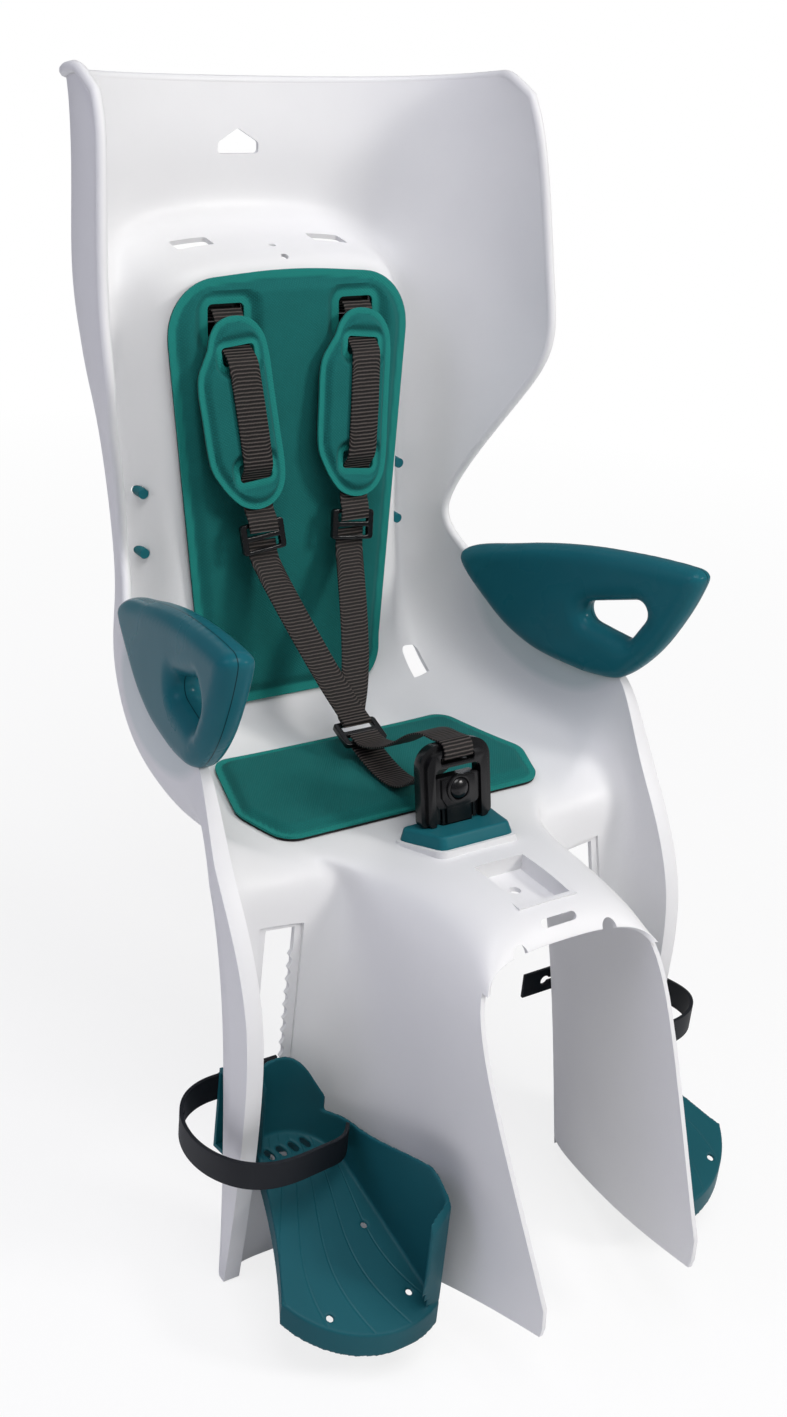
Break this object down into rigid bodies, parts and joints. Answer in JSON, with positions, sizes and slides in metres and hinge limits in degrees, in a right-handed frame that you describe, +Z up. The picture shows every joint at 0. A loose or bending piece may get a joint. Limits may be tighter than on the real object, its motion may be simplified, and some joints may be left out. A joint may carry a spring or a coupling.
{
  "type": "child bike seat",
  "caption": "Moulded bucket seat for a child on a bicycle, with armrests, a padded harness with a centre buckle, and footrests that slide on their legs with foot straps.",
  "frame": {"origin": "centre of the base screw's bore in the floor of the saddle's pocket", "axes": "+Z up along the bore, -Y to the front, +X to the child's left"},
  "size_m": [0.44, 0.6178, 0.8026],
  "materials": {
    "shell_plastic": "satin",
    "arm_plastic": "gloss",
    "teal_plastic": "satin",
    "pad_fabric": "woven",
    "webbing": "woven",
    "black_plastic": "satin",
    "spring_steel": "bright",
    "strap_rubber": "matt"
  },
  "bodies": {
    "seat": {"shell": "shell_plastic", "armrest_screws": "spring_steel", "side_plugs": "teal_plastic", "back_pad": "pad_fabric", "seat_pad": "pad_fabric", "centre_slide": "black_plastic", "buckle_loop": "webbing", "buckle_frame": "black_plastic", "buckle_post": "black_plastic", "button_spring": "spring_steel", "buckle_base": "teal_plastic", "armrest_inner_left": "arm_plastic", "armrest_outer_left": "arm_plastic", "shoulder_pad_left": "pad_fabric", "shoulder_strap_left": "webbing", "strap_adjuster_left": "black_plastic", "lower_strap_left": "webbing", "strap_anchor_left": "black_plastic", "armrest_inner_right": "arm_plastic", "armrest_outer_right": "arm_plastic", "shoulder_pad_right": "pad_fabric", "shoulder_strap_right": "webbing", "strap_adjuster_right": "black_plastic", "lower_strap_right": "webbing", "strap_anchor_right": "black_plastic"},
    "buckle_button": {"buckle_button": "black_plastic"},
    "footrest_left": {"footrest_left": "teal_plastic", "footrest_bracket_left": "teal_plastic", "latch_pin_left": "spring_steel", "foot_strap_left": "strap_rubber"},
    "latch_left": {"footrest_latch_left": "teal_plastic"},
    "footrest_right": {"footrest_right": "teal_plastic", "footrest_bracket_right": "teal_plastic", "latch_pin_right": "spring_steel", "foot_strap_right": "strap_rubber"},
    "latch_right": {"footrest_latch_right": "teal_plastic"}
  },
  "joints": [
    {"name": "footrest_left_slide", "type": "slide", "parent": "seat", "child": "footrest_left", "axis": [-0.1083, 0.1349, 0.9849], "range_m": [0, 0.09]},
    {"name": "footrest_left_latch", "type": "hinge", "parent": "footrest_left", "child": "latch_left", "pos_m": [0.141, 0.08072, -0.16888], "axis": [0, 0.9907, -0.1357], "range_deg": [0, 5.5]},
    {"name": "footrest_right_slide", "type": "slide", "parent": "seat", "child": "footrest_right", "axis": [0.1083, 0.1349, 0.9849], "range_m": [0, 0.09]},
    {"name": "footrest_right_latch", "type": "hinge", "parent": "footrest_right", "child": "latch_right", "pos_m": [-0.141, 0.08072, -0.16888], "axis": [0, -0.9907, 0.1357], "range_deg": [0, 5.5]},
    {"name": "buckle_button_press", "type": "slide", "parent": "seat", "child": "buckle_button", "axis": [0, 0.9744, -0.225], "range_m": [0, 0.003], "stiffness_N_per_m": 400, "deforming": ["button_spring"]}
  ]
}
